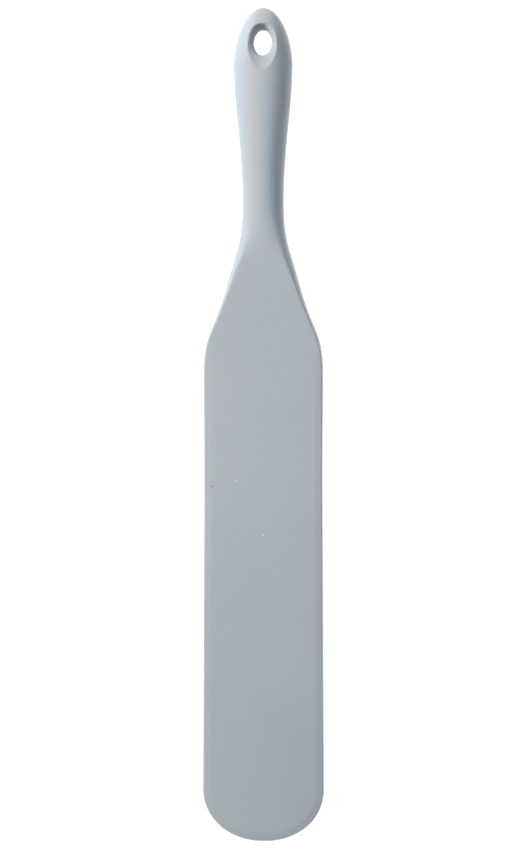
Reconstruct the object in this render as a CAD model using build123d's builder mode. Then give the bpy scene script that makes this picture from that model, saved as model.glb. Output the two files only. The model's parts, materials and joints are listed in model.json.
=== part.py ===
"""A long, flexible, silicone-covered flat spatula, lying as it rests on a table.

The handle points to +Y and the blade's rounded tip to -Y. The handle's belly and the
underside of the tip touch the table at Z = 0. Millimetres throughout.

A stainless strip runs from the tip into the handle. Two nylon halves close round its
tang, three buttons hold it central in the mould, and one seamless silicone jacket
covers everything.
"""

from build123d import *
import math
import os

os.makedirs("parts", exist_ok=True)

# ---------------------------------------------------------------- driving dimensions
# Stations are distances along the tool from the handle's end towards the tip.
length = 320.0
handle_half_width = 11.13
handle_half_height = 7.5
handle_end_reach = 23.4  # the end is a half-ellipse this long in plan
handle_end_round = 15.0  # and this long seen from the side
neck_half_width = 7.7
neck_half_height = 5.6

wedge_start = 84.0  # the flat faces begin here and run down to the blade
wedge_end = 135.0
wedge_foot = 145.0  # they dive under the blade's own faces and stop here
flank_meets_blade = 126.5
shoulder_end = 141.0
waist_station = 195.0
blade_half_width = 22.8
blade_waist_half_width = 22.7
blade_tip_half_width = 23.25
blade_half_thickness = 1.7
tip_half_thickness = 1.4
tip_reach = 20.0  # the tip is a half-ellipse this long
border_width = 1.2  # the blade thins to its rim over this width
border_drop = 0.8

hole_station = 13.2
silicone_wall = 2.2  # over the handle's core
lining_wall = 1.6  # between the hanging hole and the core

strip_thickness = 0.8
strip_margin = 3.0  # silicone past the strip's edges in the blade
tang_half_width = 4.5
tang_end = 30.0
tang_foot = 102.0
strip_shoulder = 133.0
flow_hole_radius = 3.0
flow_hole_spacing = 20.0
flow_hole_pitch = 16.0
flow_hole_rows = 11
first_flow_hole = 135.0

core_end = 94.0
core_end_half_width = 6.6
core_end_half_height = 2.3
peg_radius = 1.5
peg_stations = (47.0, 63.0, 80.0)
peg_length = 1.5  # past the strip
socket_depth = 1.7
pocket_width = 6.4
pockets = ((38.5, 11.0, 3.4), (55.0, 10.0, 2.6), (71.5, 11.0, 1.8))  # station, length, depth

button_stations = (152.0, 216.0, 280.0)
button_waist_radius = 2.0
button_base_radius = 3.0
button_top_radius = 1.0
button_cover = 0.2  # silicone over the top of each button

# Lying on its handle's belly and its tip tilts the tool by this much.
lean = 1.213
middle_height = 4.763  # the middle of the tool above the table

# ---------------------------------------------------------------- planes of the tool
lean_sine = math.sin(math.radians(lean))
lean_cosine = math.cos(math.radians(lean))
tool = Plane(
    origin=(0, 0, middle_height), x_dir=(1, 0, 0), z_dir=(0, -lean_sine, lean_cosine)
)
tool_up = Axis(tool.origin, tool.z_dir)
side = Plane(origin=tool.origin, x_dir=tool.y_dir, z_dir=tool.x_dir)


def along(station):
    """The tool's own Y at a distance from the handle's end."""
    return length / 2 - station


def across(station):
    """The plane square to the tool at a distance from the handle's end."""
    place = tool.from_local_coords((0, along(station), 0))
    return Plane(origin=place, x_dir=tool.x_dir, z_dir=-tool.y_dir)


def blade_half_thickness_at(station):
    """The blade thins evenly from the wedge to the tip."""
    share = (station - wedge_end) / (length - wedge_end)
    return blade_half_thickness + share * (tip_half_thickness - blade_half_thickness)


# ---------------------------------------------------------------- handle sections
def round_end(distance, reach, size):
    """Half-size of a half-elliptical end at this distance into it."""
    inwards = min(distance / reach, 1.0)
    return size * math.sqrt(1 - (1 - inwards) ** 2)


def end_sections(inset):
    """Station, half-width and half-height down the handle's rounded end."""
    sections = []
    for share in (0.004, 0.04, 0.13, 0.26, 0.43, 0.68, 1.0):
        distance = share * (handle_end_reach - inset)
        width = round_end(distance, handle_end_reach - inset, handle_half_width - inset)
        height = round_end(distance, handle_end_round - inset, handle_half_height - inset)
        sections.append((distance + inset, width, height))
    return sections


def grip_sections(inset):
    """Station, half-width and half-height from the handle's belly to the neck."""
    sections = (
        (33.0, 10.7, 7.45),
        (44.0, 9.65, 7.1),
        (55.0, 8.6, 6.5),
        (65.0, 7.9, 5.9),
        (75.0, neck_half_width, neck_half_height),
        (wedge_start, 8.1, 5.6),
    )
    return [(station, width - inset, height - inset) for station, width, height in sections]


# Past the wedge's start the ellipses stay tall and the flat faces cut them off. Past the
# flank they draw in, so that they end inside the blade.
wedge_sections = [
    (91.5, 9.4, 7.2),
    (100.0, 11.8, 7.6),
    (110.0, 14.7, 8.6),
    (120.0, 18.3, 8.6),
    (127.0, 20.9, 7.6),
    (133.0, 21.4, 7.0),
    (140.0, 20.4, 6.6),
]

# Height above the tool's mid-plane, half-width, half-length and shift towards the blade
# of the hanging hole: an oval throat with nearly upright walls and a flare at each face.
hole_sections = (
    (0.0, 3.85, 5.3, 0.0),
    (2.5, 3.88, 5.33, 0.0),
    (4.4, 4.0, 5.6, 0.1),
    (5.4, 4.6, 6.4, 0.5),
    (6.4, 5.7, 7.8, 0.9),
    (7.6, 7.2, 9.3, 1.3),
    (9.0, 9.0, 11.0, 1.7),
)

# ---------------------------------------------------------------- outer form
wedge_slope = (neck_half_height - blade_half_thickness) / (wedge_end - wedge_start)
foot_half_height = blade_half_thickness - wedge_slope * (wedge_foot - wedge_end)
above = 12.0  # clear of the tool
beside = 30.0

with BuildPart() as grip_form:
    for station, half_width, half_height in end_sections(0) + grip_sections(0) + wedge_sections:
        with BuildSketch(across(station)):
            Ellipse(half_width, half_height)
    loft()
    with BuildSketch(side):
        with BuildLine():
            Polyline(
                (along(-5), above),
                (along(wedge_start - 10), above),
                (along(wedge_start), neck_half_height),
                (along(wedge_foot), foot_half_height),
                (along(wedge_foot), -foot_half_height),
                (along(wedge_start), -neck_half_height),
                (along(wedge_start - 10), -above),
                (along(-5), -above),
                close=True,
            )
        make_face()
    extrude(amount=beside, both=True, mode=Mode.INTERSECT)

with BuildPart() as blade_form:
    with BuildSketch(tool):
        with BuildLine():
            tip_centre = along(length - tip_reach)
            crossing = (-20.7, along(flank_meets_blade))
            shoulder = (-blade_half_width, along(shoulder_end))
            waist = (-blade_waist_half_width, along(waist_station))
            tip_corner = (-blade_tip_half_width, tip_centre)
            Polyline((0, along(118)), (-12.0, along(118)), crossing)
            Spline(crossing, shoulder, tangents=[(-0.38, -1), (0, -1)])
            ThreePointArc(shoulder, waist, tip_corner)
            EllipticalCenterArc(
                (0, tip_centre), blade_tip_half_width, tip_reach, start_angle=180, arc_size=90
            )
            mirror(about=Plane.YZ)
        make_face()
    extrude(amount=above, both=True)
    with BuildSketch(side):
        with BuildLine():
            thick = blade_half_thickness_at(100)
            thin = blade_half_thickness_at(length + 10)
            Polyline(
                (along(100), thick),
                (along(length + 10), thin),
                (along(length + 10), -thin),
                (along(100), -thick),
                close=True,
            )
        make_face()
    extrude(amount=beside, both=True, mode=Mode.INTERSECT)
    for which in (0, -1):
        face = blade_form.faces().sort_by(tool_up)[which]
        chamfer(face.edges(), length=border_width, length2=border_drop, reference=face)

with BuildPart() as hole_form:
    for height, half_width, half_length, shift in hole_sections:
        with BuildSketch(tool.offset(height)):
            with Locations((0, along(hole_station + shift))):
                Ellipse(half_width, half_length)
    loft()
    mirror(about=tool)

with BuildPart() as outer_form:
    add(grip_form.part)
    add(blade_form.part)
    add(hole_form.part, mode=Mode.SUBTRACT)

# ---------------------------------------------------------------- stainless strip
with BuildPart() as blade_core:
    with BuildSketch(tool):
        with BuildLine():
            strip_half_width = blade_half_width - strip_margin
            Polyline(
                (0, along(tang_end)),
                (-tang_half_width, along(tang_end)),
                (-tang_half_width, along(tang_foot)),
                (-strip_half_width, along(strip_shoulder)),
                (-strip_half_width, tip_centre),
            )
            EllipticalCenterArc(
                (0, tip_centre),
                strip_half_width,
                tip_reach - strip_margin,
                start_angle=180,
                arc_size=90,
            )
            mirror(about=Plane.YZ)
        make_face()
        with Locations([(0, along(station)) for station in peg_stations]):
            Circle(peg_radius, mode=Mode.SUBTRACT)
        with Locations([(0, along(station)) for station in button_stations]):
            Circle(button_waist_radius, mode=Mode.SUBTRACT)
        middle_row = first_flow_hole + flow_hole_pitch * (flow_hole_rows - 1) / 2
        with Locations((0, along(middle_row))):
            with GridLocations(flow_hole_spacing, flow_hole_pitch, 2, flow_hole_rows):
                Circle(flow_hole_radius, mode=Mode.SUBTRACT)
    extrude(amount=strip_thickness / 2, both=True)
    tang_corners = blade_core.edges().filter_by(tool_up).sort_by(Axis.Y)[-2:]
    fillet(tang_corners, radius=2.0)

# ---------------------------------------------------------------- handle core
# The solid shape of the two closed halves, which the jacket is moulded round.
core_sections = end_sections(silicone_wall) + grip_sections(silicone_wall)
core_sections.append((core_end, core_end_half_width, core_end_half_height))

with BuildPart() as core_hole_form:
    for height, half_width, half_length, shift in hole_sections:
        with BuildSketch(tool.offset(height)):
            with Locations((0, along(hole_station + shift))):
                Ellipse(half_width + lining_wall, half_length + lining_wall)
    loft()
    mirror(about=tool)

with BuildPart() as core_form:
    for station, half_width, half_height in core_sections:
        with BuildSketch(across(station)):
            Ellipse(half_width, half_height)
    loft()
    add(core_hole_form.part, mode=Mode.SUBTRACT)

# Both halves are cored out under the tang, with ribs left between the pockets.
with BuildPart() as front_hollows:
    with BuildSketch(tool):
        with Locations((0, along(tang_end) - length / 2)):
            Rectangle(2 * tang_half_width, length)
    extrude(amount=strip_thickness / 2)
    for station, pocket_length, depth in pockets:
        with BuildSketch(tool):
            with Locations((0, along(station))):
                RectangleRounded(pocket_width, pocket_length, 1.5)
        extrude(amount=depth)

with BuildPart() as back_hollows:
    add(front_hollows.part)
    mirror(about=tool)
    split(bisect_by=tool, keep=Keep.BOTTOM)
    with BuildSketch(tool):
        with Locations([(0, along(station)) for station in peg_stations]):
            Circle(peg_radius)
    extrude(amount=-(strip_thickness / 2 + socket_depth))

with BuildPart() as handle_core_front:
    add(core_form.part)
    split(bisect_by=tool, keep=Keep.TOP)
    add(front_hollows.part, mode=Mode.SUBTRACT)
    with BuildSketch(tool.offset(strip_thickness / 2)):
        with Locations([(0, along(station)) for station in peg_stations]):
            Circle(peg_radius)
    extrude(amount=-(strip_thickness + peg_length))

with BuildPart() as handle_core_back:
    add(core_form.part)
    split(bisect_by=tool, keep=Keep.BOTTOM)
    add(back_hollows.part, mode=Mode.SUBTRACT)

# ---------------------------------------------------------------- spacer buttons
with BuildPart(tool) as core_spacers:
    for station in button_stations:
        base = strip_thickness / 2
        rise = blade_half_thickness_at(station) - button_cover - base
        with Locations((0, along(station), base)):
            Cone(
                button_base_radius,
                button_top_radius,
                rise,
                align=(Align.CENTER, Align.CENTER, Align.MIN),
            )
    mirror(about=tool)
    with Locations([(0, along(station), 0) for station in button_stations]):
        Cylinder(button_waist_radius, strip_thickness)

# ---------------------------------------------------------------- silicone jacket
with BuildPart() as silicone_jacket:
    add(outer_form.part)
    add(core_form.part, mode=Mode.SUBTRACT)
    add(blade_core.part, mode=Mode.SUBTRACT)
    add(core_spacers.part, mode=Mode.SUBTRACT)

# ---------------------------------------------------------------- files
pieces = {
    "silicone_jacket": silicone_jacket,
    "blade_core": blade_core,
    "handle_core_front": handle_core_front,
    "handle_core_back": handle_core_back,
    "core_spacers": core_spacers,
}
for name, piece in pieces.items():
    piece.part.label = name
    export_step(piece.part, f"parts/{name}.step")
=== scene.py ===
"""The looks of a long silicone flat spatula, worked out round its CAD frame.

The jacket is one closed surface computed with numpy: an oval grid round the hanging
hole, and rows across the rest of the tool. Shapes are worked out in millimetres, with
stations measured from the handle's end towards the tip, and are placed in metres.
"""

import json
import math

import bmesh
import bpy
import numpy as np
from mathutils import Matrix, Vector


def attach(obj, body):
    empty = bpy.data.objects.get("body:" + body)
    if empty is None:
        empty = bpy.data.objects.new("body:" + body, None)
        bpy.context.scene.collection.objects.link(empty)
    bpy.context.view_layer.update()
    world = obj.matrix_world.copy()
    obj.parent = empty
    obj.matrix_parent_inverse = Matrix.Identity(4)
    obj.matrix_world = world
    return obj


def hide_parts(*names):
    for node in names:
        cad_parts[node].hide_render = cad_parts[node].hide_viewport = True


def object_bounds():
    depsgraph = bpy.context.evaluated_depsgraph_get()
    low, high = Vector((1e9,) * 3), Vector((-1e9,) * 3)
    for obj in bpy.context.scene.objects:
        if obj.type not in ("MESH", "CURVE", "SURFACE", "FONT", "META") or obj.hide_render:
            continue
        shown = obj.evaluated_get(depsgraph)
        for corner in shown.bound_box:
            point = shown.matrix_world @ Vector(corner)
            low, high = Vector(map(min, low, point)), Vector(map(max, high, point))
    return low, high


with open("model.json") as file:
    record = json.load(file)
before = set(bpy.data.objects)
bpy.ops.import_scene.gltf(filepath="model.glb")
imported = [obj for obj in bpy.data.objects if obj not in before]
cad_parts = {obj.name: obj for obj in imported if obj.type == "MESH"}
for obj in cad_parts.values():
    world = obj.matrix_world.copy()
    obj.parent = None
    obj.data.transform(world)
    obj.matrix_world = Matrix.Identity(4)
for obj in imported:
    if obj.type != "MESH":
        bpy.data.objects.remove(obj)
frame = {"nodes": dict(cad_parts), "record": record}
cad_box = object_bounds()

bl_info = {
    "name": "Silicone Spatula",
    "version": (1, 0, 0),
    "blender": (4, 5, 0),
    "location": "3D View > Sidebar > Spatula",
    "description": "Builds the visible pieces of a long silicone flat spatula",
    "category": "Add Mesh",
}

MM = 0.001
BODY = "root"
mounts = {mount["name"]: mount for mount in frame["record"]["mounts"]}
hole_mount = mounts["hang_hole"]
LEAN = math.atan2(-hole_mount["axis"][1], hole_mount["axis"][2])
HOLE_STATION = 13.2
JOIN_STATION = 27.0  # where the rings round the hole meet the long body's rows
END_ROOM = 0.01  # between the ridge's ends and the CAD box
WELD = 6e-7
RANGE_SOCKETS = ("From Min", "From Max", "To Min", "To Max")


# ---------------------------------------------------------------- sizes and finishes
def size(name, description, default):
    """A length that a user may change, in metres."""
    return bpy.props.FloatProperty(
        name=name, description=description, default=default, unit="LENGTH", precision=5
    )


def share(name, description, default):
    """A plain number from 0 to 1."""
    return bpy.props.FloatProperty(
        name=name, description=description, default=default, min=0, max=1, subtype="FACTOR"
    )


def colour(name, description, default):
    """A linear RGB colour."""
    return bpy.props.FloatVectorProperty(
        name=name, description=description, default=default, size=3, subtype="COLOR"
    )


class SpatulaSizes(bpy.types.PropertyGroup):
    """The tool's driving sizes."""

    length: size("Length", "Handle's end to blade's tip", 0.32)
    handle_width: size("Handle width", "Across the handle's belly", 0.02226)
    handle_thickness: size("Handle thickness", "Through the handle's belly", 0.015)
    blade_thickness: size("Blade thickness", "At the foot of the wedge", 0.0034)
    tip_thickness: size("Tip thickness", "Just inside the tip's rim", 0.00276)
    ridge: size("Parting ridge", "Height of the mould's parting line", 0.0001)
    rim_round: size("Rim round", "Rounding where the flare meets the handle", 0.0003)
    edge_round: size("Edge round", "Rounding where the flare meets the throat", 0.0004)
    blade_crown: size("Blade crown", "Fall of a blade's face from its middle to its edge", 0.0002)
    land_drop: size("Land drop", "Fall of the narrow land along the blade's edge", 0.0002)


class SpatulaFinish(bpy.types.PropertyGroup):
    """Colours and textures of the visible and hidden pieces."""

    silicone: colour("Silicone", "Blue-grey silicone", (0.37, 0.41, 0.445))
    silicone_roughness: share("Silicone roughness", "Matt moulded skin", 0.55)
    steel: colour("Steel", "Spring stainless", (0.56, 0.56, 0.57))
    nylon: colour("Nylon", "Glass-filled nylon", (0.045, 0.047, 0.05))
    spacer: colour("Spacer silicone", "Silicone of the spacer buttons", (0.34, 0.38, 0.415))


class SpatulaStage(bpy.types.PropertyGroup):
    """Camera, floor and lights."""

    camera_distance: size("Camera distance", "From the tool's middle", 0.95)
    camera_side_angle: bpy.props.FloatProperty(
        name="Camera side angle",
        description="How far the camera stands to the right of straight above",
        default=math.radians(3.5),
        subtype="ANGLE",
    )
    camera_roll: bpy.props.FloatProperty(
        name="Camera roll",
        description="Turn of the picture about its middle",
        default=math.radians(0.05),
        subtype="ANGLE",
    )
    floor: colour("Floor", "Pale floor", (0.1, 0.1, 0.1))


# ---------------------------------------------------------------- shape helpers
def smooth_through(stations, values, at):
    """Natural cubic spline: cubics between the points, whose slope and bend agree there."""
    stations, values = np.asarray(stations, float), np.asarray(values, float)
    gaps = np.diff(stations)
    slopes = np.diff(values) / gaps
    count = len(stations)
    matrix = np.eye(count)
    bends = np.zeros(count)
    inner = np.arange(1, count - 1)
    matrix[inner, inner - 1] = gaps[:-1]
    matrix[inner, inner] = 2 * (gaps[:-1] + gaps[1:])
    matrix[inner, inner + 1] = gaps[1:]
    bends[inner] = 6 * np.diff(slopes)
    bends = np.linalg.solve(matrix, bends)
    at = np.clip(np.asarray(at, float), stations[0], stations[-1])
    piece = np.clip(np.searchsorted(stations, at) - 1, 0, count - 2)
    left, right = at - stations[piece], stations[piece + 1] - at
    gap = gaps[piece]
    return (
        bends[piece] * right**3 / (6 * gap)
        + bends[piece + 1] * left**3 / (6 * gap)
        + (values[piece] / gap - bends[piece] * gap / 6) * right
        + (values[piece + 1] / gap - bends[piece + 1] * gap / 6) * left
    )


def rounded(share_in, power):
    """From 0 to 1: the share left, raised to the power, is taken from one, and its root taken."""
    return (1 - (1 - np.clip(share_in, 0, 1)) ** power) ** (1 / power)


def lower_of(first, second, power):
    """The lower of two heights, eased where they are nearly equal, more softly at low powers."""
    return first * (1 + (first / second) ** power) ** (-1 / power)


class Tool:
    """The tool's outline and surface, in millimetres, as functions of place."""

    end_reach = 23.4
    end_power = 1.95
    end_round = 15.0
    tip_reach = 20.2
    tip_power = 2.1
    wedge_slope = 0.0765
    wedge_end = 135.0
    wedge_blend = 6.0
    land_width = 3.2
    widest_tip = 23.25
    neck_end = 92.0  # above it the faces rise clear of the handle
    face_rise = 0.03
    neck_softness = 8
    blade_onset = (135, 8)
    ridge_reach = 0.12

    def __init__(self, sizes):
        self.length = sizes.length / MM
        self.belly = sizes.handle_width / MM / 2
        self.thick = sizes.handle_thickness / MM / 2
        self.blade = sizes.blade_thickness / MM / 2
        self.tip = sizes.tip_thickness / MM / 2
        self.ridge = sizes.ridge / MM
        self.rim_round = sizes.rim_round / MM
        self.edge_round = sizes.edge_round / MM
        self.crown = sizes.blade_crown / MM
        self.land_drop = sizes.land_drop / MM
        # The CAD box's ends, as stations: the parting line's ridge ends just inside them.
        self.hole_y, self.hole_z = (np.array(hole_mount["pos_m"]) / MM)[1:]
        first = HOLE_STATION - (cad_box[1][1] / MM - self.hole_y) / math.cos(LEAN) + END_ROOM
        last = HOLE_STATION - (cad_box[0][1] / MM - self.hole_y) / math.cos(LEAN) - END_ROOM
        self.stretch = (last - first) / (self.length + 2 * self.ridge)
        self.first = first + self.ridge * self.stretch
        self.tip_start = self.length - self.tip_reach
        self.tip_width = self.widest_tip - self.ridge

    def half_width(self, station):
        """Outline: a superelliptical end, a spline down to the blade, a superelliptical tip."""
        station = np.asarray(station, float)
        end = self.belly * rounded(station / self.end_reach, self.end_power)
        middle = smooth_through(
            (23.4, 33, 44, 55, 65, 75, 84, 91.5, 100, 110, 119.3, 126.9, 131.5, 136.5, 146,
             192, 227, 280, self.tip_start),
            (11.13, 10.72, 9.65, 8.65, 7.98, 7.78, 8.25, 9.66, 12.17, 15.08, 18.4, 21.33, 22.35,
             22.8, 22.87, 22.72, 22.9, 23.13, self.widest_tip),
            station,
        ) - self.ridge
        down = np.clip((station - self.tip_start) / self.tip_reach, 0, 1)
        tip = self.tip_width * (1 - down**self.tip_power) ** (1 / self.tip_power)
        along = np.where(station < self.end_reach, end, middle)
        return np.where(station > self.tip_start, tip, along)

    def half_height(self, station):
        """Half-height of the ellipse that each section is cut from."""
        station = np.asarray(station, float)
        end = self.thick * rounded(station / self.end_round, 2)
        middle = smooth_through(
            (23.4, 33, 44, 55, 65, 75, 84, 91.5, 100, 110, 120, 130, 142, 200, 320),
            (7.5, 7.45, 7.1, 6.5, 5.9, 5.6, 5.65, 7.2, 8.6, 10.2, 11.6, 12, 11, 9.5, 9.0),
            station,
        )
        return np.where(station < self.end_reach, end, middle)

    def face_height(self, station):
        """Height of the flat faces: the blade's slow taper and the wedge, eased together."""
        station = np.asarray(station, float)
        down = (station - self.wedge_end) / (self.length - self.wedge_end)
        blade = self.blade + down * (self.tip - self.blade)
        reach = (self.wedge_end - station) / self.wedge_blend
        wedge = self.wedge_slope * self.wedge_blend * np.logaddexp(0, reach)
        return blade + wedge

    def crispness(self, station):
        """How sharply a face meets the sides: soft at the neck, crisp on the wedge."""
        station = np.asarray(station, float)
        onset = 1 / (1 + np.exp((94.5 - station) / 1.8))
        ease = 1 / (1 + np.exp((124 - station) / 4))
        return 3 + 13 * onset - 8 * ease

    def rim_distance(self, across, station):
        """Distance in plan from the outline, and the outline's outward direction there."""
        width = self.half_width(station)
        step = 0.05
        slope = (self.half_width(station + step) - self.half_width(station - step)) / (2 * step)
        slope = np.where((station > 75) & (station < self.tip_start - 1), slope, 0)
        turn = np.sqrt(1 + slope**2)
        distance = (width - np.abs(across)) / turn
        out_x, out_s = np.sign(across) / turn, -slope / turn
        # Round the tip the outline is the curve where a superelliptical level is 1.
        power = self.tip_power
        side = np.abs(across) / self.tip_width
        down = np.clip(station - self.tip_start, 0, None) / self.tip_reach
        level = np.maximum((side**power + down**power) ** (1 / power), 1e-6)
        pull_x = (side / level) ** (power - 1) / self.tip_width
        pull_s = (down / level) ** (power - 1) / self.tip_reach
        pull = np.maximum(np.hypot(pull_x, pull_s), 1e-6)
        tip = station > self.tip_start
        distance = np.where(tip, (1 - level) / pull, distance)
        out_x = np.where(tip, np.sign(across) * pull_x / pull, out_x)
        out_s = np.where(tip, pull_s / pull, out_s)
        return np.clip(distance, 0, None), out_x, out_s

    def height(self, across, station):
        """Height above the mid-plane: an ellipse from rim to rim, cut by the flat faces."""
        distance, _, _ = self.rim_distance(across, station)
        reach = np.where(station > self.tip_start, self.tip_width, self.half_width(station))
        inwards = 1 - np.clip(distance / np.maximum(reach, 1e-6), 0, 1)
        ellipse = self.half_height(station) * np.sqrt(np.clip(1 - inwards**2, 0, 1))
        onset, ease = self.blade_onset
        on_blade = 1 / (1 + np.exp((onset - station) / ease))
        crown = self.crown * np.clip(across / self.tip_width, -1, 1) ** 2
        off_land = 1 - np.clip(distance / self.land_width, 0, 1)
        land = self.land_drop * off_land**2 * (3 - 2 * off_land)
        flat = self.face_height(station)
        top = np.maximum(self.half_height(station), 1e-4)
        # Above the neck the face rises clear of the handle and leaves it round.
        risen = flat + self.face_rise * np.clip(self.neck_end - station, 0, None) ** 2
        face = risen - on_blade * (crown + land)
        power = self.crispness(station)
        section = lower_of(face, np.maximum(ellipse, 1e-4), power)
        return section * lower_of(flat, top, self.neck_softness) / lower_of(risen, top, power)

    def place(self, across, station, height):
        """From the tool's own place in millimetres to the frame, in metres."""
        along = HOLE_STATION - (self.first + station * self.stretch)
        sine, cosine = math.sin(LEAN), math.cos(LEAN)
        y = self.hole_y + along * cosine - height * sine
        z = self.hole_z + along * sine + height * cosine
        return np.stack([across, y, z], axis=-1) * MM


def column_angles():
    """Angles across a section from one rim to the other, closest together at the rims."""
    rim = np.array([0, 0.005, 0.010, 0.015, 0.021, 0.030, 0.043, 0.060, 0.082])
    half = np.concatenate([rim, np.linspace(0.11, math.pi / 2, 36)])
    return np.concatenate([half, math.pi - half[-2::-1]])


def ridge_out(tool, height):
    """The parting line's ridge: a narrow bell on the mid-plane."""
    return tool.ridge * np.exp(-((height / tool.ridge_reach) ** 2))


def quads(rows, columns, wrap):
    """Faces of a grid of rows by columns, closed round the columns if wrap."""
    row, column = np.meshgrid(np.arange(rows - 1), np.arange(columns if wrap else columns - 1))
    row, column = row.ravel(), column.ravel()
    beside = (column + 1) % columns
    return np.stack(
        [row * columns + column, row * columns + beside,
         (row + 1) * columns + beside, (row + 1) * columns + column], axis=1
    )


def long_body(tool):
    """Rows across the tool from just past the hole to the tip.

    Each row runs over the top from rim to rim and back underneath: across is the
    half-width times the cosine of the column's angle, and the height is the tool's.
    """
    straight = np.arange(JOIN_STATION, tool.tip_start, 1.2)
    turn = np.linspace(0, math.pi / 2, 60)
    stations = np.concatenate([straight, tool.tip_start + tool.tip_reach * np.sin(turn)])
    angles = column_angles()
    station, angle = np.meshgrid(stations, angles, indexing="ij")
    across = tool.half_width(station) * np.cos(angle)
    height = tool.height(across, station)
    height[:, [0, -1]] = 0
    _, out_x, out_s = tool.rim_distance(across, station)
    out = ridge_out(tool, height)
    across, station = across + out * out_x, station + out * out_s
    top = tool.place(across, station, height)
    under = tool.place(across, station, -height)[:, -2:0:-1]
    grid = np.concatenate([top, under], axis=1)
    rows, columns = grid.shape[:2]
    return grid.reshape(-1, 3), quads(rows, columns, wrap=True)


def throat(about):
    """The hole at the mid-plane: an ellipse."""
    return 3.65 * np.cos(about), HOLE_STATION + 0.1 + 5.1 * np.sin(about)


def throat_edge(about):
    """The throat's upper edge: an ellipse that reaches further towards the handle's end."""
    return 4.2 * np.cos(about), 12.7 + 6.1 * np.sin(about)


def flare_rim(about):
    """The flare's rim: an egg of two superellipses, blunt at the end, pointed to the blade."""
    blade_side = np.sin(about) > 0
    power = np.where(blade_side, 1.85, 2.4)
    reach = np.where(blade_side, 9.2, 8.7)
    across = np.sign(np.cos(about)) * np.abs(np.cos(about)) ** (2 / power)
    along = np.sign(np.sin(about)) * np.abs(np.sin(about)) ** (2 / power)
    return 5.5 * across, 15 + reach * along


def bend_rows(first, corner, last, rows):
    """Rows along a quadratic curve that rounds a corner between two points."""
    share = np.linspace(0, 1, rows)[:, None]
    return (1 - share) ** 2 * first + 2 * share * (1 - share) * corner + share**2 * last


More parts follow.
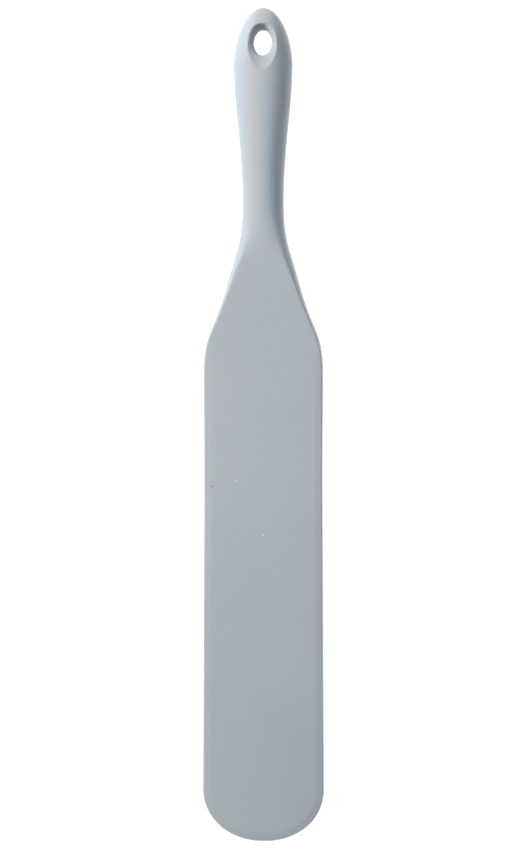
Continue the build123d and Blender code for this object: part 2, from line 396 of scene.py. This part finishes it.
def handle_end(tool):
    """Rings round the hanging hole, from its throat out to the outline, top and bottom.

    Each ring's point keeps its turn about the hole. Going outwards it climbs the throat's
    wall, rounds its edge, crosses the flare's straight slope, rounds the rim, and crosses
    the handle's face to the outline, or to the first row of the long body.
    """
    angles = column_angles()
    join_width = float(tool.half_width(JOIN_STATION))
    join_x, join_s = join_width * np.cos(angles), np.full(len(angles), JOIN_STATION)
    side_s = np.linspace(JOIN_STATION, tool.end_reach, 5)[1:-1]
    turn = np.linspace(0, math.pi / 2, 61)
    end_s = tool.end_reach * (1 - np.sin(turn) ** (2 / tool.end_power))
    end_x = tool.half_width(end_s)
    end_x[-1] = 0
    half_s = np.concatenate([side_s, end_s])
    half_x = np.concatenate([tool.half_width(side_s), end_x])
    outer_x = np.concatenate([join_x, -half_x, half_x[-2::-1]])
    outer_s = np.concatenate([join_s, half_s, half_s[-2::-1]])
    count, joins = len(outer_x), len(join_x)
    # Turn about the hole, shared out so that both stretches meet at the join's corners.
    corner = math.atan2(JOIN_STATION - HOLE_STATION, join_width)
    join_turn = np.linspace(corner, math.pi - corner, joins)
    end_turn = np.linspace(math.pi - corner, 2 * math.pi + corner, count - joins + 2)[1:-1]
    about = np.concatenate([join_turn, end_turn])

    # The curves that the rings are hung on, each a row of places.
    rim = np.array(flare_rim(about))
    rim = np.stack([*rim, tool.height(*rim)])
    edge = np.array(throat_edge(about))
    spread_out = np.hypot(*(rim[:2] - edge))
    slope = 0.30 + 0.08 * np.clip(np.sin(about), 0, 1) ** 2
    edge = np.stack([*edge, rim[2] - slope * spread_out])
    outer = np.stack([outer_x, outer_s])
    beyond = np.minimum(tool.rim_round, 0.3 * spread_out)
    stop = rim[:2] + beyond / np.hypot(*(outer - rim[:2])) * (outer - rim[:2])
    stop = np.stack([*stop, tool.height(*stop)])
    down = beyond / spread_out
    before_rim = rim + down * (edge - rim)
    round_edge = np.minimum(tool.edge_round, 0.4 * spread_out)
    after_edge = edge + round_edge / spread_out * (rim - edge)

    # The wall leans out as a power of its height.
    shares = np.concatenate([(0, 0.006, 0.012, 0.018, 0.026, 0.04, 0.07), np.linspace(0.1, 1, 16)])
    foot = np.array(throat(about))
    top = edge[2] - round_edge

    def wall(height):
        lean = (height / edge[2]) ** 3
        return foot[0] + lean * (edge[0] - foot[0]), foot[1] + lean * (edge[1] - foot[1])

    wall_z = shares[:, None] * top
    wall_x, wall_s = wall(wall_z)
    inward = ridge_out(tool, wall_z)
    wall_x, wall_s = wall_x - inward * np.cos(about), wall_s - inward * np.sin(about)
    before_edge = np.stack([*wall(top), top])
    bends = [bend_rows(before_edge[axis], edge[axis], after_edge[axis], 6) for axis in range(3)]
    ramp = np.linspace(0, 1, 7)[:, None]
    ramps = [after_edge[axis] + ramp * (before_rim - after_edge)[axis] for axis in range(3)]
    rims = [bend_rows(before_rim[axis], rim[axis], stop[axis], 6) for axis in range(3)]

    # The face's rows, close together at the outline, evenly spaced at the join.
    left = np.concatenate([np.linspace(1, 0.1, 30)[1:-1], column_angles()[8::-1] / 0.82])
    left = left[:, None]
    on_join = np.zeros(count)
    on_join[:joins] = 1 - np.abs(np.cos(angles)) ** 6
    remaining = on_join * left + (1 - on_join) * left**2
    face_x = outer_x + remaining * (stop[0] - outer_x)
    face_s = outer_s + remaining * (stop[1] - outer_s)
    face_z = tool.height(face_x, face_s)
    face_z[-1, joins - 1:] = 0
    face_z[-1, 0] = 0
    # The parting line's ridge stands out square to the outline.
    out_x = np.sign(outer_x)
    out_s = np.zeros(count)
    round_x = outer_x / tool.belly**2
    round_s = np.minimum(outer_s - tool.end_reach, 0) / tool.end_reach**2
    off_join = np.ones(count, bool)
    off_join[1:joins - 1] = False
    out_x = np.where(off_join, round_x / np.hypot(round_x, round_s), out_x)
    out_s = np.where(off_join, round_s / np.hypot(round_x, round_s), out_s)
    ridge = ridge_out(tool, face_z)
    x = np.concatenate([wall_x, bends[0][1:], ramps[0][1:], rims[0][1:], face_x + ridge * out_x])
    s = np.concatenate([wall_s, bends[1][1:], ramps[1][1:], rims[1][1:], face_s + ridge * out_s])
    z = np.concatenate([wall_z, bends[2][1:], ramps[2][1:], rims[2][1:], face_z])
    rows = len(x)
    upper, lower = tool.place(x, s, z), tool.place(x, s, -z)
    faces = quads(rows, count, wrap=True)
    points = np.concatenate([upper.reshape(-1, 3), lower.reshape(-1, 3)])
    return points, np.concatenate([faces, faces[:, ::-1] + rows * count])


def mesh_object(name, patches):
    """One closed object from patches of points and quads, welded where they meet."""
    points = np.concatenate([patch[0] for patch in patches])
    starts = np.cumsum([0] + [len(patch[0]) for patch in patches[:-1]])
    faces = np.concatenate([patch[1] + start for patch, start in zip(patches, starts)])
    mesh = bpy.data.meshes.new(name)
    mesh.from_pydata(points.tolist(), [], faces.tolist())
    work = bmesh.new()
    work.from_mesh(mesh)
    bmesh.ops.remove_doubles(work, verts=work.verts, dist=WELD)
    bmesh.ops.dissolve_degenerate(work, edges=work.edges, dist=1e-8)
    bmesh.ops.recalc_face_normals(work, faces=work.faces)
    open_edges = [edge for edge in work.edges if not edge.is_manifold]
    if open_edges:
        raise RuntimeError(f"{name} has {len(open_edges)} open edges")
    work.to_mesh(mesh)
    work.free()
    mesh.shade_smooth()
    piece = bpy.data.objects.new(name, mesh)
    bpy.context.scene.collection.objects.link(piece)
    return piece


# ---------------------------------------------------------------- materials
class Nodes:
    """A material's node tree, with short calls for adding and linking nodes."""

    def __init__(self, name):
        self.material = bpy.data.materials.new(name)
        self.material.use_nodes = True
        self.tree = self.material.node_tree
        self.tree.nodes.clear()
        output = self.add("ShaderNodeOutputMaterial")
        self.shader = self.add("ShaderNodeBsdfPrincipled")
        self.link(self.shader.outputs["BSDF"], output.inputs["Surface"])
        self.place = self.add("ShaderNodeTexCoord").outputs["Object"]

    def add(self, kind, **values):
        """A new node, with its settings and socket values."""
        node = self.tree.nodes.new(kind)
        for name, value in values.items():
            if hasattr(node, name):
                setattr(node, name, value)
            else:
                node.inputs[name].default_value = value
        return node

    def link(self, source, target):
        """Join an output to an input."""
        self.tree.links.new(source, target)

    def stretched(self, scale):
        """The object's place, stretched by a scale on each axis."""
        mapping = self.add("ShaderNodeMapping")
        mapping.inputs["Scale"].default_value = scale
        self.link(self.place, mapping.inputs["Vector"])
        return mapping.outputs["Vector"]

    def noise(self, scale, detail=3.0, roughness=0.5, place=None):
        """Noise from 0 to 1 over the object."""
        node = self.add("ShaderNodeTexNoise", Scale=scale, Detail=detail, Roughness=roughness)
        self.link(place or self.place, node.inputs["Vector"])
        return node.outputs["Fac"]

    def spread(self, value, low, high, to_low, to_high):
        """A value carried from one range to another."""
        node = self.add("ShaderNodeMapRange")
        for name, number in zip(RANGE_SOCKETS, (low, high, to_low, to_high)):
            node.inputs[name].default_value = number
        self.link(value, node.inputs["Value"])
        return node.outputs["Result"]

    def mix(self, share_in, first, second):
        """A colour between two, by a share from 0 to 1."""
        node = self.add("ShaderNodeMix", data_type="RGBA")
        self.link(share_in, node.inputs["Factor"])
        for socket, value in ((node.inputs[6], first), (node.inputs[7], second)):
            if isinstance(value, tuple):
                socket.default_value = (*value, 1)
            else:
                self.link(value, socket)
        return node.outputs[2]

    def specks(self, base, colour_in, low, high):
        """A few moulding specks: cells whose random value lies between low and high get one."""
        cells = self.add("ShaderNodeTexVoronoi", Scale=200.0)
        self.link(self.place, cells.inputs["Vector"])
        dot = self.spread(cells.outputs["Distance"], 0.05, 0.075, 1, 0)
        pick = self.add("ShaderNodeSeparateColor")
        self.link(cells.outputs["Color"], pick.inputs["Color"])
        middle, half = (low + high) / 2, (high - low) / 2
        chosen = self.add("ShaderNodeMath", operation="COMPARE")
        self.link(pick.outputs["Red"], chosen.inputs[0])
        chosen.inputs[1].default_value = middle
        chosen.inputs[2].default_value = half
        both = self.add("ShaderNodeMath", operation="MULTIPLY")
        self.link(dot, both.inputs[0])
        self.link(chosen.outputs["Value"], both.inputs[1])
        return self.mix(both.outputs["Value"], base, colour_in)

    def bump(self, heights, strength, distance):
        """Roughen the shader's normal by a height."""
        node = self.add("ShaderNodeBump", Strength=strength, Distance=distance)
        self.link(heights, node.inputs["Height"])
        self.link(node.outputs["Normal"], self.shader.inputs["Normal"])


def tinted(colour_in, factor, tint=(1, 1, 1)):
    """A colour made lighter or darker, and warmer or cooler."""
    return tuple(float(channel * factor * t) for channel, t in zip(colour_in, tint))


def silicone_material(name, colour_in, roughness):
    """Matt moulded silicone: a fine even grain, faint clouds of tone and a soft sheen."""
    nodes = Nodes(name)
    clouds = nodes.spread(nodes.noise(22, 2), 0.3, 0.7, 0, 1)
    base = nodes.mix(clouds, tinted(colour_in, 0.975, (1, 1, 1.01)), tinted(colour_in, 1.02))
    grain = nodes.spread(nodes.noise(1400, 4, 0.6), 0.35, 0.65, 0, 1)
    mottle = nodes.mix(grain, (0.955, 0.955, 0.955), (1.0, 1.0, 1.0))
    both = nodes.add("ShaderNodeMix", data_type="RGBA", blend_type="MULTIPLY")
    both.inputs["Factor"].default_value = 1
    nodes.link(base, both.inputs[6])
    nodes.link(mottle, both.inputs[7])
    skin = nodes.specks(both.outputs[2], tinted(colour_in, 0.3), 0.0, 0.05)
    skin = nodes.specks(skin, tinted(colour_in, 1.9), 0.95, 1.0)
    nodes.link(skin, nodes.shader.inputs["Base Color"])
    polish = nodes.spread(nodes.noise(60, 3), 0.3, 0.7, roughness - 0.015, roughness + 0.015)
    nodes.link(polish, nodes.shader.inputs["Roughness"])
    nodes.shader.inputs["IOR"].default_value = 1.41
    nodes.shader.inputs["Sheen Weight"].default_value = 0.2
    nodes.shader.inputs["Sheen Roughness"].default_value = 0.5
    nodes.bump(nodes.noise(2600, 3, 0.55), 0.25, 0.00004)
    return nodes.material


def steel_material(name, colour_in):
    """Strip steel: long brushed streaks in tone, gloss and height, along the blade."""
    nodes = Nodes(name)
    streaks = nodes.noise(90, 5, 0.6, nodes.stretched((40, 1, 40)))
    tone = nodes.spread(streaks, 0.3, 0.7, 0, 1)
    base = nodes.mix(tone, tinted(colour_in, 0.85), tinted(colour_in, 1.08))
    nodes.link(base, nodes.shader.inputs["Base Color"])
    nodes.shader.inputs["Metallic"].default_value = 1
    nodes.link(nodes.spread(streaks, 0.3, 0.7, 0.28, 0.42), nodes.shader.inputs["Roughness"])
    nodes.bump(streaks, 0.3, 0.00002)
    return nodes.material


def nylon_material(name, colour_in):
    """Dark glass-filled nylon: cloudy fibre-rich skin with a spark-eroded grain."""
    nodes = Nodes(name)
    fibres = nodes.noise(500, 5, 0.7, nodes.stretched((1.6, 0.7, 1.6)))
    tone = nodes.spread(fibres, 0.35, 0.7, 0, 1)
    base = nodes.mix(tone, tinted(colour_in, 0.8), tinted(colour_in, 1.5))
    nodes.link(base, nodes.shader.inputs["Base Color"])
    nodes.link(nodes.spread(fibres, 0.3, 0.7, 0.45, 0.62), nodes.shader.inputs["Roughness"])
    nodes.bump(nodes.noise(1800, 3), 0.3, 0.00005)
    return nodes.material


def floor_material(name, colour_in):
    """Pale backlit acrylic: even white with the faintest clouding."""
    nodes = Nodes(name)
    clouds = nodes.spread(nodes.noise(3, 2), 0.3, 0.7, 0, 1)
    base = nodes.mix(clouds, tinted(colour_in, 0.985), tinted(colour_in, 1.0))
    nodes.link(base, nodes.shader.inputs["Base Color"])
    nodes.shader.inputs["Roughness"].default_value = 0.6
    nodes.shader.inputs["Emission Color"].default_value = (1, 1, 1, 1)
    nodes.shader.inputs["Emission Strength"].default_value = 1.0
    return nodes.material


def wear(piece, material):
    """Give a piece or a CAD node its one material."""
    piece.data.materials.clear()
    piece.data.materials.append(material)


# ---------------------------------------------------------------- operators
class SPATULA_OT_jacket(bpy.types.Operator):
    """Builds the silicone jacket, the whole visible skin of the tool"""

    bl_idname = "spatula.jacket"
    bl_label = "Silicone Jacket"

    def execute(self, context):
        tool = Tool(context.scene.spatula_sizes)
        finish = context.scene.spatula_finish
        jacket = mesh_object("jacket_skin", [long_body(tool), handle_end(tool)])
        wear(jacket, silicone_material("silicone", finish.silicone, finish.silicone_roughness))
        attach(jacket, BODY)
        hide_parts("silicone_jacket")
        return {"FINISHED"}


class SPATULA_OT_strip(bpy.types.Operator):
    """Finishes the stainless strip inside the blade"""

    bl_idname = "spatula.strip"
    bl_label = "Stainless Strip"

    def execute(self, context):
        wear(frame["nodes"]["blade_core"],
             steel_material("stainless", context.scene.spatula_finish.steel))
        return {"FINISHED"}


class SPATULA_OT_handle_core(bpy.types.Operator):
    """Finishes the two nylon halves inside the handle"""

    bl_idname = "spatula.handle_core"
    bl_label = "Nylon Handle Core"

    def execute(self, context):
        nylon = nylon_material("nylon", context.scene.spatula_finish.nylon)
        for name in ("handle_core_front", "handle_core_back"):
            wear(frame["nodes"][name], nylon)
        return {"FINISHED"}


class SPATULA_OT_spacers(bpy.types.Operator):
    """Finishes the silicone buttons that hold the strip in the mould"""

    bl_idname = "spatula.spacers"
    bl_label = "Spacer Buttons"

    def execute(self, context):
        finish = context.scene.spatula_finish
        wear(frame["nodes"]["core_spacers"],
             silicone_material("spacer_silicone", finish.spacer, finish.silicone_roughness))
        return {"FINISHED"}


class SPATULA_OT_stage(bpy.types.Operator):
    """Sets the floor, the lights and the camera"""

    bl_idname = "spatula.stage"
    bl_label = "Stage"

    def execute(self, context):
        stage = context.scene.spatula_stage
        self.floor(stage)
        self.lights(context)
        self.camera(context, stage)
        return {"FINISHED"}

    def floor(self, stage):
        """A wide square floor at the table's height."""
        half = 3.0
        mesh = bpy.data.meshes.new("floor")
        corners = [(-half, -half, 0), (half, -half, 0), (half, half, 0), (-half, half, 0)]
        mesh.from_pydata(corners, [], [(0, 1, 2, 3)])
        floor = bpy.data.objects.new("floor", mesh)
        bpy.context.scene.collection.objects.link(floor)
        wear(floor, floor_material("pale_floor", stage.floor))

    def lights(self, context):
        """An even white surround and one key light, on the side the handle is lit from."""
        world = bpy.data.worlds.new("studio")
        context.scene.world = world
        world.use_nodes = True
        nodes, links = world.node_tree.nodes, world.node_tree.links
        sky = nodes["Background"]
        sky.inputs["Color"].default_value = (0.97, 0.99, 1.03, 1)
        # White at the horizon, dimmer overhead: the sine of the height sets the strength.
        way = nodes.new("ShaderNodeTexCoord")
        height = nodes.new("ShaderNodeSeparateXYZ")
        dim = nodes.new("ShaderNodeMapRange")
        dim.interpolation_type = "SMOOTHSTEP"
        for name, number in zip(RANGE_SOCKETS, (0.1, 0.27, 1.0, 0.34)):
            dim.inputs[name].default_value = number
        links.new(way.outputs["Generated"], height.inputs["Vector"])
        links.new(height.outputs["Z"], dim.inputs["Value"])
        links.new(dim.outputs["Result"], sky.inputs["Strength"])
        key_spot, key_side, key_watts = (-0.63, 0.42, 0.45), 0.35, 10.3
        self.softbox(context, "key", key_spot, key_side, key_watts)
        context.scene.view_settings.view_transform = "Standard"
        self.film(context.scene.view_settings)

    def film(self, settings):
        """A gentle film curve: middle tones a little lifted, bright tones held back."""
        settings.use_curve_mapping = True
        combined = 3
        curve = settings.curve_mapping.curves[combined]
        for tone, shown in ((0.2, 0.2), (0.42, 0.473), (0.7, 0.635), (0.85, 0.79)):
            curve.points.new(tone, shown)
        settings.curve_mapping.update()

    def softbox(self, context, name, spot, side, power):
        """A square area light at a spot, facing the tool."""
        data = bpy.data.lights.new(name, "AREA")
        data.shape = "SQUARE"
        data.size = side
        data.energy = power
        data.color = (1.0, 0.985, 0.965)
        lamp = bpy.data.objects.new(name, data)
        lamp.location = spot
        lamp.rotation_euler = aim(spot, (0, 0, 0))
        context.scene.collection.objects.link(lamp)

    def camera(self, context, stage):
        """A camera almost straight above, which frames the tool's whole length."""
        data = bpy.data.cameras.new("camera")
        data.sensor_fit = "VERTICAL"
        data.sensor_height = 24
        picture_height = 0.32687
        data.lens = data.sensor_height * stage.camera_distance / picture_height
        data.clip_start = 0.01
        camera = bpy.data.objects.new("camera", data)
        lean = stage.camera_side_angle
        target = (0.0001, 0.00016, 0.0047)
        spot = (
            target[0] + stage.camera_distance * math.sin(lean),
            target[1],
            target[2] + stage.camera_distance * math.cos(lean),
        )
        camera.location = spot
        camera.rotation_euler = (0, lean, stage.camera_roll)
        context.scene.collection.objects.link(camera)
        context.scene.camera = camera


def aim(spot, target):
    """The turn that points a lamp at spot towards target."""
    way = np.array(target, float) - np.array(spot, float)
    flat = math.hypot(way[0], way[1])
    return (math.atan2(flat, -way[2]), 0, math.atan2(way[1], way[0]) - math.pi / 2)


class SPATULA_PT_panel(bpy.types.Panel):
    """Lists the tool's pieces and the stage"""

    bl_idname = "SPATULA_PT_panel"
    bl_label = "Spatula"
    bl_space_type = "VIEW_3D"
    bl_region_type = "UI"
    bl_category = "Spatula"

    def draw(self, context):
        for operator in OPERATORS:
            self.layout.operator(operator.bl_idname)
        for group in (context.scene.spatula_sizes, context.scene.spatula_finish,
                      context.scene.spatula_stage):
            box = self.layout.box()
            for name in group.bl_rna.properties.keys():
                if name not in ("rna_type", "name"):
                    box.prop(group, name)


OPERATORS = (
    SPATULA_OT_jacket,
    SPATULA_OT_strip,
    SPATULA_OT_handle_core,
    SPATULA_OT_spacers,
    SPATULA_OT_stage,
)
GROUPS = {
    "spatula_sizes": SpatulaSizes,
    "spatula_finish": SpatulaFinish,
    "spatula_stage": SpatulaStage,
}


def register():
    """Add the classes and the scene's three property groups."""
    for kind in (*GROUPS.values(), *OPERATORS, SPATULA_PT_panel):
        bpy.utils.register_class(kind)
    for name, group in GROUPS.items():
        setattr(bpy.types.Scene, name, bpy.props.PointerProperty(type=group))


def unregister():
    """Remove what register added."""
    for name in GROUPS:
        delattr(bpy.types.Scene, name)
    for kind in (SPATULA_PT_panel, *reversed(OPERATORS), *reversed(GROUPS.values())):
        bpy.utils.unregister_class(kind)


def main():
    """Build every piece and the stage."""
    register()
    bpy.ops.spatula.jacket()
    bpy.ops.spatula.strip()
    bpy.ops.spatula.handle_core()
    bpy.ops.spatula.spacers()
    bpy.ops.spatula.stage()


if __name__ == "__main__":
    main()
